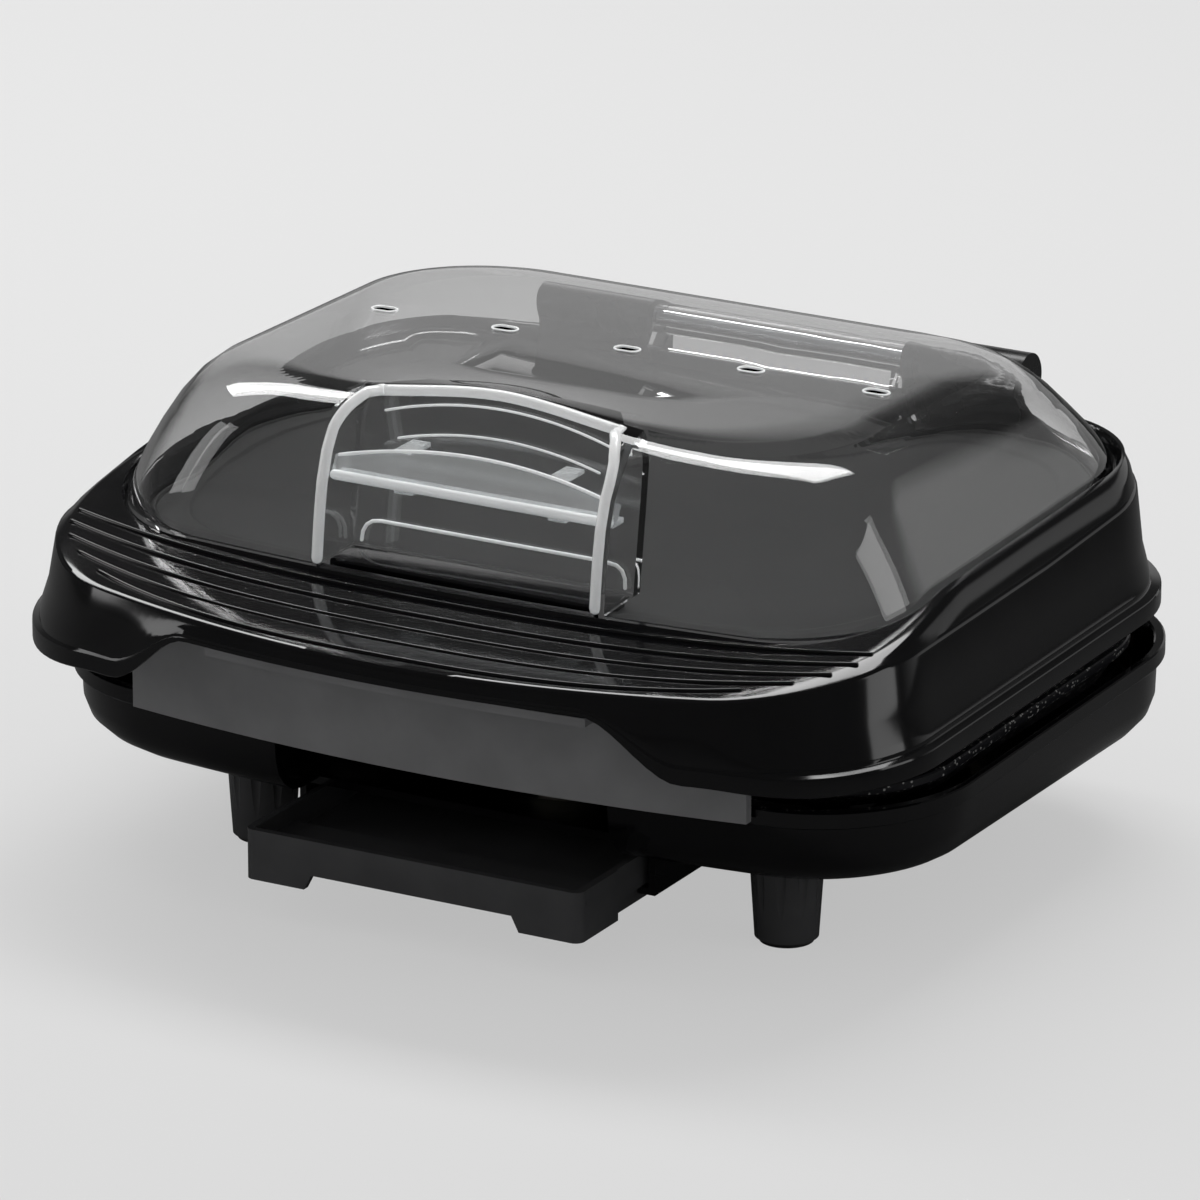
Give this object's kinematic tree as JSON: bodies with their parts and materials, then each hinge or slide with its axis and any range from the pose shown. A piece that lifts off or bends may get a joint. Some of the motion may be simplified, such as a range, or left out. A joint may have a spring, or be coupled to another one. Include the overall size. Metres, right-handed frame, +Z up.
{
  "type": "electric indoor grill with lid",
  "caption": "Countertop contact grill with a floating hinged upper half, a clear hinged dome over a warming floor and a pull-out drip tray.",
  "frame": {"origin": "middle of the footprint, on the surface the grill stands on", "axes": "+Z up, -Y the front with the handle and drip tray, +X the user's right"},
  "size_m": [0.3, 0.2646, 0.159],
  "materials": {
    "gloss_black": "gloss moulded plastic",
    "matt_grey": "fine matt texture",
    "nonstick_coating": "speckled non-stick coating on cast aluminium",
    "clear_plastic": "clear polycarbonate",
    "steel": "zinc plated steel",
    "heater_sheath": "heat-dulled steel tube",
    "reflector_steel": "bright rolled sheet",
    "ceramic": "glazed ceramic",
    "wire_sleeve": "glass fibre sleeve",
    "rubber": "matt rubber"
  },
  "bodies": {
    "base": {"lower_housing": "gloss_black", "lower_plate": "nonstick_coating", "lower_heater": "heater_sheath", "lower_reflector": "reflector_steel", "plate_clips_lower": "steel", "foot_front_left": "gloss_black", "foot_front_right": "gloss_black", "foot_rear_left": "gloss_black", "foot_rear_right": "gloss_black", "foot_pads": "rubber", "tray_rail_left": "gloss_black", "tray_rail_right": "gloss_black", "hinge_guide_left": "gloss_black", "hinge_guide_right": "gloss_black", "cord_inlet": "rubber", "terminal_block": "ceramic", "thermostat": "ceramic", "thermal_fuse": "steel", "lower_wires": "wire_sleeve", "base_screws": "steel"},
    "yokes": {"hinge_yoke_left": "steel", "hinge_yoke_right": "steel"},
    "cover": {"upper_housing": "gloss_black", "front_apron": "gloss_black", "warming_tray": "matt_grey", "upper_plate": "nonstick_coating", "upper_heater": "heater_sheath", "upper_reflector": "reflector_steel", "plate_clips_upper": "steel", "hinge_arm_left": "gloss_black", "hinge_arm_right": "gloss_black", "hinge_pins": "steel", "lid_hinge_block_left": "gloss_black", "lid_hinge_block_right": "gloss_black", "lid_hinge_pin": "steel", "cover_screws": "steel"},
    "lid": {"dome_lid": "clear_plastic", "lid_barrel": "clear_plastic", "lid_grip": "clear_plastic"},
    "tray": {"drip_tray": "gloss_black"}
  },
  "joints": [
    {"name": "hinge_float", "type": "slide", "parent": "base", "child": "yokes", "axis": [0, 0, 1], "range_m": [0, 0.012]},
    {"name": "cover_hinge", "type": "hinge", "parent": "yokes", "child": "cover", "pos_m": [0, 0.126, 0.066], "axis": [-1, 0, 0], "range_deg": [0, 95]},
    {"name": "lid_hinge", "type": "hinge", "parent": "cover", "child": "lid", "pos_m": [0, 0.1225, 0.126], "axis": [-1, 0, 0], "range_deg": [0, 95]},
    {"name": "tray_slide", "type": "slide", "parent": "base", "child": "tray", "axis": [0, -1, 0], "range_m": [0, 0.11]}
  ]
}
